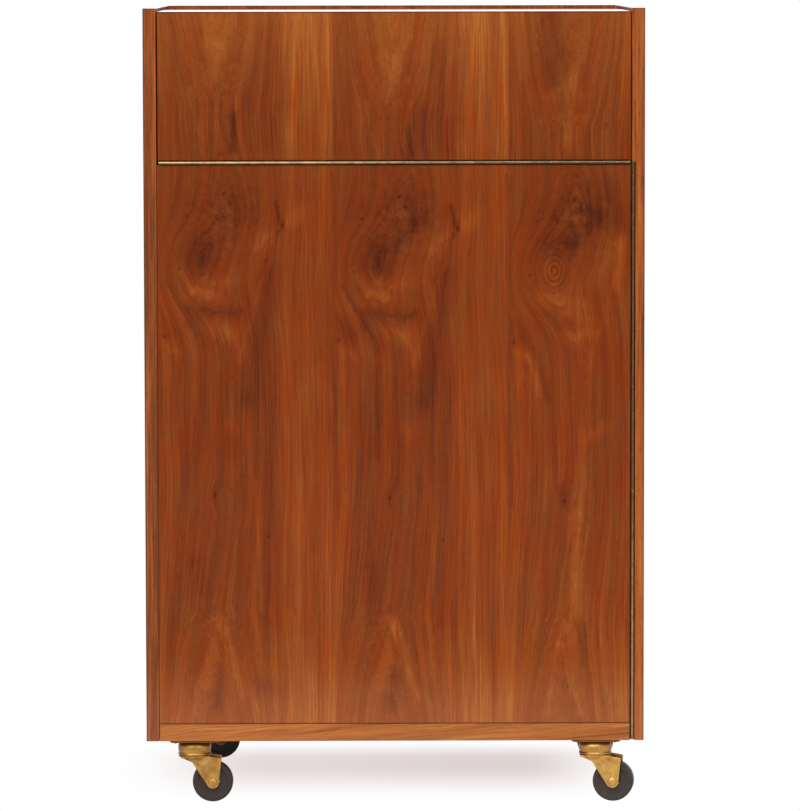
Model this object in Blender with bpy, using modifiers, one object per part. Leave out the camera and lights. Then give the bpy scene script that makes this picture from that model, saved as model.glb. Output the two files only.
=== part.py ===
"""Rolling utility cabinet: a veneered carcass on four casters, with a drop flap and a hinged side panel.

Metres, +Z up, -Y to the front. The origin lies on the floor under the middle of the cabinet.
"""
import math

import bmesh
import bpy
from mathutils import Matrix, Vector

# Carcass
WIDTH = 0.489
DEPTH = 0.324
SIDE_HEIGHT = 0.719
PANEL = 0.0127
BOTTOM_THICKNESS = 0.0169
RIM = 0.0033
FLAP_HINGE_HEIGHT = 0.5688
JOINT = 0.0003
SEAT = 0.0003
EASED_EDGE = 0.0005

# Flap and side door
FLAP_SIDE_GAP = 0.0013
FLAP_BACK_GAP = 0.002
DOOR_AXIS_OFFSET = 0.0014
DOOR_BACK_GAP = 0.0007

# Piano hinges
KNUCKLE_RADIUS = 0.002
KNUCKLE_LENGTH = 0.0127
KNUCKLE_GAP = 0.0003
KNUCKLE_ARC_SIDES = 10
LEAF_THICKNESS = 0.001
LEAF_SETBACK = 0.0007
PIN_RADIUS = 0.0009
PIN_CLEARANCE = 0.0004
PIN_SIDES = 6
HINGE_PROUD = 0.00015
HINGE_END_GAP = 0.0008

# Shelf
SHELF_HEIGHT = 0.284
SHELF_SIDE_GAP = 0.001
SHELF_PIN_RADIUS = 0.003
SHELF_PIN_CLEARANCE = 0.0004
SHELF_PIN_DEPTH = 0.009
SHELF_PIN_REACH = 0.011
SHELF_PIN_INSET = 0.08

# Touch latches
LATCH_LENGTH = 0.042
LATCH_WIDTH = 0.016
LATCH_HEIGHT = 0.012
LATCH_SETBACK = 0.0033
DOOR_LATCH_FROM_BACK = 0.05
PLUNGER_RADIUS = 0.003
PLUNGER_LENGTH = 0.024
PLUNGER_CLEARANCE = 0.0004
PLUNGER_TRAVEL = 0.0015
STRIKE_SIZE = 0.011
STRIKE_THICKNESS = 0.0012

# Casters
CASTER_HEIGHT = 0.0625
CASTER_FROM_SIDE = 0.0465
CASTER_FROM_FRONT = 0.022
PLATE_WIDTH = 0.048
PLATE_DEPTH = 0.038
PLATE_THICKNESS = 0.002
CUP_RADIUS = 0.0165
CUP_HEIGHT = 0.0131
CUP_WALL = 0.002
CUP_SHOULDER = 0.0025
KINGPIN_RADIUS = 0.004
KINGPIN_HEAD_RADIUS = 0.0065
KINGPIN_HEAD_THICKNESS = 0.002
BORE_CLEARANCE = 0.0004
FORK_WALL = 0.002
FORK_TIP_RADIUS = 0.0063
FORK_HEEL = 0.0268
FORK_HEEL_DROP = 0.0022
FORK_BROW = 0.0125
FORK_BROW_DROP = 0.0005
FORK_KNEE = 0.0034
FORK_KNEE_HEIGHT = 0.0419
WHEEL_RADIUS = 0.02
WHEEL_WIDTH = 0.017
WHEEL_SHOULDER = 0.0025
WHEEL_FACE_RADIUS = 0.014
WHEEL_FACE_RECESS = 0.001
WHEEL_SIDES = 24
TRAIL = 0.018
BUSHING_RADIUS = 0.0065
BUSHING_LENGTH = 0.0192
AXLE_RADIUS = 0.003
RIVET_RADIUS = 0.0043
RIVET_THICKNESS = 0.0012
ROUND_SIDES = 16
CASTERS = {
    "front_left": (-1, -1, 0.0),
    "front_right": (1, -1, -9.0),
    "rear_left": (-1, 1, 0.0),
    "rear_right": (1, 1, -50.0),
}

# Places that follow from the sizes
FRONT = (HINGE_PROUD + KNUCKLE_RADIUS - DEPTH) / 2
BACK = FRONT + DEPTH
UNDERSIDE = CASTER_HEIGHT
RIM_TOP = UNDERSIDE + SIDE_HEIGHT
TOP_SURFACE = RIM_TOP - RIM
BOTTOM_TOP = UNDERSIDE + BOTTOM_THICKNESS
LEFT_INNER = PANEL - WIDTH / 2
DOOR_INNER = WIDTH / 2 - PANEL
HINGE_SEAT = KNUCKLE_RADIUS + SEAT
HINGE_Y = FRONT - HINGE_PROUD
DOOR_AXIS_X = DOOR_INNER + DOOR_AXIS_OFFSET
RIGHT_END = DOOR_AXIS_X - HINGE_SEAT
FLAP_AXIS_Z = UNDERSIDE + FLAP_HINGE_HEIGHT
FRONT_TOP = FLAP_AXIS_Z - HINGE_SEAT
FLAP_LEFT = LEFT_INNER + FLAP_SIDE_GAP
FRONT_INNER = FRONT + PANEL
BACK_INNER = BACK - PANEL
PLATE_BOTTOM = CASTER_HEIGHT - SEAT - PLATE_THICKNESS
CUP_TOP = PLATE_BOTTOM - SEAT
CUP_BOTTOM = CUP_TOP - CUP_HEIGHT
CROWN_TOP = CUP_BOTTOM - SEAT
CROWN_BOTTOM = CROWN_TOP - FORK_WALL
FORK_GAP = BUSHING_LENGTH + 2 * SEAT
FORK_WIDTH = FORK_GAP + 2 * FORK_WALL

PARTS = "rolling_utility_cabinet"
CUTTERS = "cutters"

# Finishes: sRGB colour, roughness, metallic
WALNUT = ((140, 68, 31), 0.35, 0.0)
PALE_EDGE = ((181, 109, 59), 0.45, 0.0)
BRASS = ((178, 135, 74), 0.32, 1.0)
STEEL = ((150, 150, 148), 0.4, 1.0)
PLASTIC = ((70, 50, 36), 0.5, 0.0)
RUBBER = ((58, 54, 51), 0.65, 0.0)


def clear_scene():
    """Removes what the file opened with and makes the two collections."""
    for thing in list(bpy.data.objects):
        bpy.data.objects.remove(thing)
    for name in (PARTS, CUTTERS):
        bpy.context.scene.collection.children.link(bpy.data.collections.new(name))


def linear(channel):
    """Linear value of an 8-bit sRGB channel."""
    share = channel / 255
    return share / 12.92 if share <= 0.04045 else ((share + 0.055) / 1.055) ** 2.4


def material(name, finish):
    """Principled material of one piece."""
    colour, roughness, metallic = finish
    made = bpy.data.materials.new(name)
    made.use_nodes = True
    shader = made.node_tree.nodes["Principled BSDF"]
    shader.inputs["Base Color"].default_value = (*map(linear, colour), 1.0)
    shader.inputs["Roughness"].default_value = roughness
    shader.inputs["Metallic"].default_value = metallic
    return made


def place(name, mesh, finish, location=(0, 0, 0), rotation=None, parent=None):
    """Named piece with its own mesh and material; its location is in the parent's frame."""
    piece = bpy.data.objects.new(name, mesh)
    bpy.data.collections[PARTS].objects.link(piece)
    mesh.materials.append(material(name, finish))
    piece.parent = parent
    piece.location = location
    if rotation is not None:
        piece.rotation_euler = rotation.to_euler()
    return piece


def axis(name, location, turn=0.0, parent=None):
    """Empty on a joint's axis, turned about Z."""
    empty = bpy.data.objects.new(name, None)
    bpy.data.collections[PARTS].objects.link(empty)
    empty.parent = parent
    empty.location = location
    empty.rotation_euler.z = turn
    return empty


def working(data):
    """Unnamed object that a mesh is worked on with."""
    made = bpy.data.objects.new("work", data)
    bpy.data.collections[CUTTERS].objects.link(made)
    return made


def baked(work):
    """Mesh of a working object with its modifiers applied and its seams welded; the object goes."""
    graph = bpy.context.evaluated_depsgraph_get()
    mesh = bpy.data.meshes.new_from_object(work.evaluated_get(graph))
    bpy.data.objects.remove(work)
    shape = bmesh.new()
    shape.from_mesh(mesh)
    bmesh.ops.remove_doubles(shape, verts=shape.verts, dist=1e-6)
    shape.to_mesh(mesh)
    shape.free()
    return mesh


def combined(mesh, other, operation):
    """Mesh after an exact Boolean with another mesh."""
    work = working(mesh)
    tool = working(other)
    boolean = work.modifiers.new(operation.lower(), "BOOLEAN")
    boolean.operation = operation
    boolean.object = tool
    result = baked(work)
    bpy.data.objects.remove(tool)
    return result


def box(low, high):
    """Box between two corners."""
    low, high = Vector(low), Vector(high)
    shape = bmesh.new()
    size = Matrix.Diagonal((*(high - low), 1.0))
    bmesh.ops.create_cube(shape, size=1.0, matrix=Matrix.Translation((low + high) / 2) @ size)
    mesh = bpy.data.meshes.new("box")
    shape.to_mesh(mesh)
    shape.free()
    return mesh


def rod(radius, length, sides=ROUND_SIDES, direction="Z", centre=(0, 0, 0)):
    """Cylinder along an axis, about its centre."""
    quarter = math.pi / 2
    turn = {"X": Matrix.Rotation(quarter, 4, "Y"), "Y": Matrix.Rotation(quarter, 4, "X"), "Z": Matrix()}
    shape = bmesh.new()
    bmesh.ops.create_cone(
        shape, cap_ends=True, segments=sides, radius1=radius, radius2=radius, depth=length,
        matrix=Matrix.Translation(centre) @ turn[direction],
    )
    mesh = bpy.data.meshes.new("rod")
    shape.to_mesh(mesh)
    shape.free()
    return mesh


def extruded(outlines, thickness):
    """Flat outlines in XY, the first the edge and any others holes, with a thickness about Z = 0."""
    curve = bpy.data.curves.new("outline", "CURVE")
    curve.dimensions = "2D"
    curve.fill_mode = "BOTH"
    curve.extrude = thickness / 2
    for points in outlines:
        spline = curve.splines.new("POLY")
        spline.points.add(len(points) - 1)
        for point, (x, y) in zip(spline.points, points):
            point.co = (x, y, 0.0, 1.0)
        spline.use_cyclic_u = True
    return baked(working(curve))


def turned(profile, steps, ring=False):
    """Profile of (radius, height) points, top to bottom on its outer side, turned about Z."""
    links = [(i, i + 1) for i in range(len(profile) - 1)]
    if ring:
        links.append((len(profile) - 1, 0))
    mesh = bpy.data.meshes.new("profile")
    mesh.from_pydata([(radius, 0.0, height) for radius, height in profile], links, [])
    work = working(mesh)
    screw = work.modifiers.new("turn", "SCREW")
    screw.steps = steps
    screw.render_steps = steps
    screw.use_merge_vertices = True
    screw.merge_threshold = 1e-6
    made = baked(work)
    made.shade_smooth()
    made.set_sharp_from_angle(angle=math.radians(35))
    return made


def arc(centre, radius, start, end, sides):
    """Points of an arc between two angles in degrees, both ends included."""
    angles = [math.radians(start + (end - start) * i / sides) for i in range(sides + 1)]
    return [(centre[0] + radius * math.cos(a), centre[1] + radius * math.sin(a)) for a in angles]


def ease(piece):
    """Small chamfer on a panel's edges."""
    bevel = piece.modifiers.new("eased edges", "BEVEL")
    bevel.width = EASED_EDGE
    bevel.segments = 1
    bevel.limit_method = "ANGLE"


def panel(name, low, high, finish=WALNUT, parent=None):
    """Board between two world corners, with eased edges and its origin in its middle."""
    low, high = Vector(low), Vector(high)
    half = (high - low) / 2
    home = parent.location if parent else Vector()
    piece = place(name, box(-half, half), finish, (low + high) / 2 - home, parent=parent)
    ease(piece)
    return piece


def cut(piece, name, mesh):
    """Boolean cut of a piece by a named cutter in world coordinates."""
    cutter = bpy.data.objects.new(name, mesh)
    bpy.data.collections[CUTTERS].objects.link(cutter)
    cutter.hide_render = True
    cutter.display_type = "WIRE"
    boolean = piece.modifiers.new(name, "BOOLEAN")
    boolean.operation = "DIFFERENCE"
    boolean.object = cutter


def frame(along_x, along_y):
    """Rotation that takes local X and Y to two given directions."""
    x, y = Vector(along_x), Vector(along_y)
    return Matrix((x, y, x.cross(y))).transposed()


def build_carcass():
    """Fixed boards: left side, back, bottom, lower front, divider and top."""
    inner_left = LEFT_INNER + JOINT
    panel("left_side_panel", (-WIDTH / 2, FRONT, UNDERSIDE), (LEFT_INNER, BACK, RIM_TOP))
    back_end = DOOR_INNER - DOOR_BACK_GAP
    back = panel("back_panel", (inner_left, BACK_INNER, UNDERSIDE), (back_end, BACK, RIM_TOP))
    board_end = (RIGHT_END, BACK_INNER - JOINT, BOTTOM_TOP)
    panel("bottom_board", (inner_left, FRONT, UNDERSIDE), board_end, PALE_EDGE)
    front = panel("front_panel", (inner_left, FRONT, BOTTOM_TOP + JOINT), (RIGHT_END, FRONT_INNER, FRONT_TOP))
    panel(
        "divider_shelf", (inner_left, FRONT_INNER + JOINT, FRONT_TOP - PANEL),
        (RIGHT_END, BACK_INNER - JOINT, FRONT_TOP),
    )
    panel(
        "top_panel", (inner_left, FRONT_INNER + FLAP_BACK_GAP, TOP_SURFACE - PANEL),
        (RIGHT_END, BACK_INNER - JOINT, TOP_SURFACE),
    )
    return front, back


def build_shelf(front, back):
    """Loose shelf of the lower compartment on four pins, two in the front panel and two in the back."""
    underside = UNDERSIDE + SHELF_HEIGHT
    panel(
        "lower_shelf", (LEFT_INNER + SHELF_SIDE_GAP, FRONT_INNER + SHELF_SIDE_GAP, underside),
        (RIGHT_END - SHELF_SIDE_GAP, BACK_INNER - SHELF_SIDE_GAP, underside + PANEL),
    )
    length = SHELF_PIN_DEPTH + SHELF_PIN_REACH
    height = underside - SEAT - SHELF_PIN_RADIUS
    hole = SHELF_PIN_RADIUS + SHELF_PIN_CLEARANCE
    for board, end, face, inward in ((front, "front", FRONT_INNER, 1), (back, "back", BACK_INNER, -1)):
        for side, x in (("left", LEFT_INNER + SHELF_PIN_INSET), ("right", RIGHT_END - SHELF_PIN_INSET)):
            middle = (x, face + inward * (SHELF_PIN_REACH - SHELF_PIN_DEPTH) / 2, height)
            place(f"shelf_pin_{end}_{side}", rod(SHELF_PIN_RADIUS, length, direction="Y"), STEEL, middle)
            drill = rod(hole, 2 * (SHELF_PIN_DEPTH + SEAT), direction="Y", centre=(x, face, height))
            cut(board, f"shelf_pin_hole_{end}_{side}", drill)


def hinge_leaf(length, owns_first):
    """Leaf of a piano hinge along local Z: X runs back from the pin and Y towards the leaf's own board.

    The section is a strip that ends in a round knuckle about the pin. Every second knuckle length is cut away
    to leave room for the other leaf's knuckles.
    """
    pairs = round(length / (2 * KNUCKLE_LENGTH))
    pitch = length / (2 * pairs)
    far = PANEL + HINGE_PROUD - LEAF_SETBACK
    inside = KNUCKLE_RADIUS - LEAF_THICKNESS
    meets = math.degrees(math.asin(inside / KNUCKLE_RADIUS))
    section = arc((0, 0), KNUCKLE_RADIUS, 90, 360 + meets, KNUCKLE_ARC_SIDES)
    section += [(far, inside), (far, KNUCKLE_RADIUS)]
    bore = arc((0, 0), PIN_RADIUS + PIN_CLEARANCE, 0, 360 - 360 / PIN_SIDES, PIN_SIDES - 1)
    reach = KNUCKLE_RADIUS + KNUCKLE_GAP
    half = (pitch + KNUCKLE_GAP) / 2
    gap = working(box((-2 * reach, -2 * reach, -half), (reach, 2 * reach, half)))
    gap.location.z = (1.5 if owns_first else 0.5) * pitch - length / 2
    row = gap.modifiers.new("row", "ARRAY")
    row.count = pairs
    row.use_relative_offset = False
    row.use_constant_offset = True
    row.constant_offset_displace = (0.0, 0.0, 2 * pitch)
    leaf = working(extruded([section, bore], length))
    boolean = leaf.modifiers.new("knuckles", "BOOLEAN")
    boolean.operation = "DIFFERENCE"
    boolean.object = gap
    mesh = baked(leaf)
    bpy.data.objects.remove(gap)
    return mesh


def build_flap():
    """Drop flap on its hinge: it turns forward and down about the hinge pin."""
    hinge = axis("flap_hinge_axis", ((FLAP_LEFT + RIGHT_END) / 2, HINGE_Y, FLAP_AXIS_Z))
    panel(
        "drop_flap", (FLAP_LEFT, FRONT, FLAP_AXIS_Z + HINGE_SEAT), (RIGHT_END, FRONT_INNER, TOP_SURFACE),
        parent=hinge,
    )
    length = RIGHT_END - FLAP_LEFT - 2 * HINGE_END_GAP
    up, down = frame((0, 1, 0), (0, 0, 1)), frame((0, 1, 0), (0, 0, -1))
    place("flap_hinge_moving_leaf", hinge_leaf(length, False), BRASS, rotation=up, parent=hinge)
    place("flap_hinge_fixed_leaf", hinge_leaf(length, False), BRASS, hinge.location, down)
    place("flap_hinge_pin", rod(PIN_RADIUS, length, PIN_SIDES, "X"), STEEL, hinge.location)
    return hinge


def build_door():
    """Right side panel on its hinge, rebated along the hinge: its rear edge swings out and forward."""
    bottom = UNDERSIDE + HINGE_END_GAP
    length = FLAP_AXIS_Z - bottom
    hinge = axis("door_hinge_axis", (DOOR_AXIS_X, HINGE_Y, bottom + length / 2))
    door = panel("side_door", (DOOR_INNER, FRONT, UNDERSIDE), (WIDTH / 2, BACK, RIM_TOP), parent=hinge)
    rebate_low = (DOOR_INNER - PANEL, FRONT - PANEL, UNDERSIDE - PANEL)
    rebate_high = (DOOR_AXIS_X + HINGE_SEAT, FRONT_INNER, FLAP_AXIS_Z + SEAT)
    cut(door, "door_hinge_rebate", box(rebate_low, rebate_high))
    outward, inward = frame((0, 1, 0), (1, 0, 0)), frame((0, 1, 0), (-1, 0, 0))
    place("door_hinge_moving_leaf", hinge_leaf(length, True), BRASS, rotation=outward, parent=hinge)
    place("door_hinge_fixed_leaf", hinge_leaf(length, True), BRASS, hinge.location, inward)
    place("door_hinge_pin", rod(PIN_RADIUS, length, PIN_SIDES), STEEL, hinge.location)
    return hinge


def build_latch(name, face, turn, carrier):
    """Touch latch whose plunger points along local X at a strike plate on a moving panel's inner face.

    The face is the point of that panel opposite the plunger, and the strike plate rides on the panel's hinge.
    """
    half_width, half_height = LATCH_WIDTH / 2, LATCH_HEIGHT / 2
    rear = -LATCH_SETBACK - LATCH_LENGTH
    body = box((rear, -half_width, -half_height), (-LATCH_SETBACK, half_width, half_height))
    tip = -2 * SEAT - STRIKE_THICKNESS
    tail = tip - PLUNGER_LENGTH - PLUNGER_TRAVEL - SEAT
    bore = rod(PLUNGER_RADIUS + PLUNGER_CLEARANCE, -2 * tail, direction="X")
    place(f"{name}_latch_body", combined(body, bore, "DIFFERENCE"), PLASTIC, face, turn)
    plunger_middle = face + turn @ Vector((tip - PLUNGER_LENGTH / 2, 0, 0))
    plunger = rod(PLUNGER_RADIUS, PLUNGER_LENGTH, direction="X")
    place(f"{name}_latch_plunger", plunger, PLASTIC, plunger_middle, turn)
    half = STRIKE_SIZE / 2
    plate = box((-SEAT - STRIKE_THICKNESS, -half, -half), (-SEAT, half, half))
    place(f"{name}_strike_plate", plate, STEEL, face - carrier.location, turn, carrier)


def build_latches(flap_hinge, door_hinge):
    """Flap latch under the middle of the top, and door latch under the divider near the back."""
    drop = SEAT + LATCH_HEIGHT / 2
    middle = (FLAP_LEFT + RIGHT_END) / 2
    flap_face = Vector((middle, FRONT_INNER, TOP_SURFACE - PANEL - drop))
    build_latch("flap", flap_face, frame((0, -1, 0), (1, 0, 0)), flap_hinge)
    door_face = Vector((DOOR_INNER, BACK_INNER - DOOR_LATCH_FROM_BACK, FRONT_TOP - PANEL - drop))
    build_latch("door", door_face, Matrix.Identity(3), door_hinge)


def plate_mesh():
    """Caster's top plate with the hole of its kingpin."""
    half = Vector((PLATE_WIDTH / 2, PLATE_DEPTH / 2, PLATE_THICKNESS / 2))
    return combined(box(-half, half), rod(KINGPIN_RADIUS + BORE_CLEARANCE, 2 * PLATE_THICKNESS), "DIFFERENCE")


def cup_mesh():
    """Race cup, open below, with a rounded shoulder and a hole for the kingpin."""
    hole = KINGPIN_RADIUS + BORE_CLEARANCE
    shoulder = arc((CUP_RADIUS - CUP_SHOULDER, CUP_TOP - CUP_SHOULDER), CUP_SHOULDER, 90, 0, 3)
    inner = CUP_RADIUS - CUP_WALL
    profile = [(hole, CUP_TOP), *shoulder, (CUP_RADIUS, CUP_BOTTOM), (inner, CUP_BOTTOM)]
    profile += [(inner, CUP_TOP - CUP_WALL), (hole, CUP_TOP - CUP_WALL)]
    return turned(profile, ROUND_SIDES, ring=True)


def kingpin_mesh():
    """Rivet that the fork turns on, with its head under the fork's crown."""
    head = CROWN_BOTTOM - SEAT
    bottom = head - KINGPIN_HEAD_THICKNESS
    profile = [(0.0, PLATE_BOTTOM + PLATE_THICKNESS), (KINGPIN_RADIUS, PLATE_BOTTOM + PLATE_THICKNESS)]
    profile += [(KINGPIN_RADIUS, head), (KINGPIN_HEAD_RADIUS, head)]
    profile += [(KINGPIN_HEAD_RADIUS, bottom), (0.0, bottom)]
    return turned(profile, ROUND_SIDES)


def fork_mesh():
    """Fork: a round crown under the cup and two legs that sweep back and down to the axle.

    The legs' side outline is extruded to the fork's width and hollowed: under the crown, and right through
    behind it.
    """
    brow = (-FORK_BROW, CROWN_BOTTOM - FORK_BROW_DROP)
    knee = (-FORK_KNEE, FORK_KNEE_HEIGHT)
    lean = math.degrees(math.atan2(WHEEL_RADIUS - knee[1], TRAIL - knee[0]))
    crown = CROWN_TOP - FORK_WALL / 10
    crown_end = 0.8 * CUP_RADIUS
    outline = [(FORK_HEEL, crown - FORK_HEEL_DROP), (crown_end, crown), (-FORK_BROW, crown), brow, knee]
    outline += arc((TRAIL, WHEEL_RADIUS), FORK_TIP_RADIUS, lean - 90, 0, 6)
    reach = FORK_HEEL + WHEEL_RADIUS
    under = CROWN_BOTTOM - FORK_WALL / 10
    hollow = [(-reach, -WHEEL_RADIUS), (reach, -WHEEL_RADIUS)]
    hollow += [(reach, CASTER_HEIGHT), (crown_end, CASTER_HEIGHT)]
    hollow += [(crown_end, under), (-reach, under)]
    upright = Matrix.Rotation(math.pi / 2, 4, "X")
    legs, space = extruded([outline], FORK_WIDTH), extruded([hollow], FORK_GAP)
    legs.transform(upright)
    space.transform(upright)
    mesh = combined(legs, space, "DIFFERENCE")
    disc = rod(CUP_RADIUS, FORK_WALL, 2 * ROUND_SIDES, centre=(0, 0, (CROWN_TOP + CROWN_BOTTOM) / 2))
    mesh = combined(mesh, disc, "UNION")
    mesh = combined(mesh, rod(KINGPIN_RADIUS + BORE_CLEARANCE, 2 * CASTER_HEIGHT), "DIFFERENCE")
    hub = (TRAIL, 0, WHEEL_RADIUS)
    axle_hole = rod(AXLE_RADIUS + BORE_CLEARANCE, 2 * FORK_WIDTH, direction="Y", centre=hub)
    return combined(mesh, axle_hole, "DIFFERENCE")


def axle_mesh():
    """Axle along Z, riveted over outside both legs."""
    neck = FORK_WIDTH / 2 + SEAT
    end = neck + RIVET_THICKNESS
    profile = [(0.0, end), (RIVET_RADIUS, end), (RIVET_RADIUS, neck), (AXLE_RADIUS, neck)]
    profile += [(radius, -height) for radius, height in reversed(profile)]
    return turned(profile, ROUND_SIDES)


def bushing_mesh():
    """Wheel bushing along Z, as long as the space between the legs allows."""
    half = BUSHING_LENGTH / 2
    bore = AXLE_RADIUS + BORE_CLEARANCE
    profile = [(bore, half), (BUSHING_RADIUS, half), (BUSHING_RADIUS, -half), (bore, -half)]
    return turned(profile, ROUND_SIDES, ring=True)


def wheel_mesh():
    """Rubber wheel along Z: rounded tread, dished faces, and one flat of its tread square to the floor."""
    tread = WHEEL_RADIUS / math.cos(math.pi / WHEEL_SIDES)
    half = WHEEL_WIDTH / 2
    bore = BUSHING_RADIUS + BORE_CLEARANCE
    dish = half - WHEEL_FACE_RECESS
    upper = [(bore, dish), (WHEEL_FACE_RADIUS, dish), (WHEEL_FACE_RADIUS + WHEEL_FACE_RECESS, half)]
    upper += arc((tread - WHEEL_SHOULDER, half - WHEEL_SHOULDER), WHEEL_SHOULDER, 90, 0, 3)
    profile = upper + [(radius, -height) for radius, height in reversed(upper)]
    mesh = turned(profile, WHEEL_SIDES, ring=True)
    mesh.transform(Matrix.Rotation(math.pi / WHEEL_SIDES, 4, "Z"))
    return mesh


def build_casters():
    """Four casters, each turned about its kingpin to where it came to rest."""
    across = Matrix.Rotation(math.pi / 2, 3, "X")
    plate, cup, kingpin, fork = plate_mesh(), cup_mesh(), kingpin_mesh(), fork_mesh()
    axle, bushing, wheel = axle_mesh(), bushing_mesh(), wheel_mesh()
    for corner, (side, end, turn) in CASTERS.items():
        name = f"caster_{corner}"
        x = side * (WIDTH / 2 - CASTER_FROM_SIDE)
        y = FRONT + CASTER_FROM_FRONT if end < 0 else BACK - CASTER_FROM_FRONT
        place(f"{name}_plate", plate.copy(), BRASS, (x, y, PLATE_BOTTOM + PLATE_THICKNESS / 2))
        place(f"{name}_cup", cup.copy(), BRASS, (x, y, 0))
        place(f"{name}_kingpin", kingpin.copy(), STEEL, (x, y, 0))
        swivel = axis(f"{name}_swivel_axis", (x, y, 0), math.radians(turn))
        hub = axis(f"{name}_wheel_axis", (TRAIL, 0, WHEEL_RADIUS), parent=swivel)
        place(f"{name}_fork", fork.copy(), BRASS, parent=swivel)
        place(f"{name}_axle", axle.copy(), BRASS, (TRAIL, 0, WHEEL_RADIUS), across, swivel)
        place(f"{name}_bushing", bushing.copy(), STEEL, rotation=across, parent=hub)
        place(f"{name}_wheel", wheel.copy(), RUBBER, rotation=across, parent=hub)


def build_cabinet():
    """Whole cabinet, closed, at rest on the floor."""
    clear_scene()
    front, back = build_carcass()
    build_shelf(front, back)
    build_latches(build_flap(), build_door())
    build_casters()


build_cabinet()
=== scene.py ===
"""Looks of the rolling utility cabinet: slip-matched walnut fronts, brass piano hinges and brass casters.

Metres, +Z up, -Y to the front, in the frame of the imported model. Finishes work in millimetres.
"""
import math

import bmesh
import bpy
import numpy as np
from mathutils import Matrix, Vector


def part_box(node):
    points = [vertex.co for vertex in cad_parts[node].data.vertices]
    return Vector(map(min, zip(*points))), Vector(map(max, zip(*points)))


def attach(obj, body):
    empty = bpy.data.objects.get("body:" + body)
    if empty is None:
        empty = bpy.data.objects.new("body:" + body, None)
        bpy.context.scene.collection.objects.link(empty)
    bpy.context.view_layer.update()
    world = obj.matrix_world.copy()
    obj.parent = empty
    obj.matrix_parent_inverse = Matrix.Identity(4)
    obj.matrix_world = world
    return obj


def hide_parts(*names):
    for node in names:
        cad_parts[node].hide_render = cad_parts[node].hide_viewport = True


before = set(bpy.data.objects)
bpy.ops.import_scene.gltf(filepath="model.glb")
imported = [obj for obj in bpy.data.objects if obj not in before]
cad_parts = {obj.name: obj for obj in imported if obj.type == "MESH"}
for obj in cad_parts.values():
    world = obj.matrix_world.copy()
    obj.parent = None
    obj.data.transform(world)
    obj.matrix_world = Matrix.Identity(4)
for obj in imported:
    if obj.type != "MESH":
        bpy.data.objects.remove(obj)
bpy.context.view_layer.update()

CORNERS = ("front_left", "front_right", "rear_left", "rear_right")
MM = 0.001
X, Y, Z = range(3)

# Camera: place in metres, angles in degrees, sensor in millimetres
CAMERA_PLACE = (-0.02702, -5.1505, 0.82419)
CAMERA_PITCH, CAMERA_YAW, CAMERA_ROLL = 4.9311, 0.3713, -0.0952
FOCAL_PIXELS = 5117.9
PHOTO_WIDTH = 800
SENSOR_WIDTH = 36.0

# Veneer leaves of the front, in millimetres
LEAF_LEFT = -230.6
LEAF_WIDTH = 171.1
LEAF_DROP = 3.4
FLAP_LEAF_DROP = 14.0
# Heights where the lines begin to close to points, up the flap and down the panel
FLAP_POINTS, FOOT_POINTS = 690.0, 192.0
# Veneer leaves of the other boards
BOARD_LEAF_START, BOARD_LEAF_WIDTH, BOARD_LEAF_DROP = 400.0, 163.0, 9.0
# Step through the noise from one leaf to the next
LEAF_CHANGE = 0.2
# Heights between which the painted reflection of the floor thins out
FLOOR_REFLECTION_HEIGHTS = (74, 150)
# Soft steps: of a normal's part along an axis, and of how far a face is turned from the camera
FACING = (0.6, 0.8)
GLANCING = (0.93, 0.98)

# Knots of one leaf: across, height, reach across, reach up, how far they push the lines
KNOTS = ((46, 537, 38, 40, 38), (71, 597, 28, 34, 12), (55, 306, 8, 12, 7))
# Pin knots of one leaf: across, height, half width, half height, how dark
PIN_KNOTS = (
    (64.4, 601, 1.5, 2.0, 0.38), (70.2, 592, 1.6, 2.2, 0.38), (28, 580, 1.3, 1.5, 0.34),
    (20.5, 528, 1.3, 1.6, 0.36), (5.2, 462, 1.6, 1.8, 0.4), (106.6, 265, 1.2, 1.6, 0.32),
    (55, 306, 1.7, 1.9, 0.36), (121.3, 570, 1.4, 2.4, 0.4),
)
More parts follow.
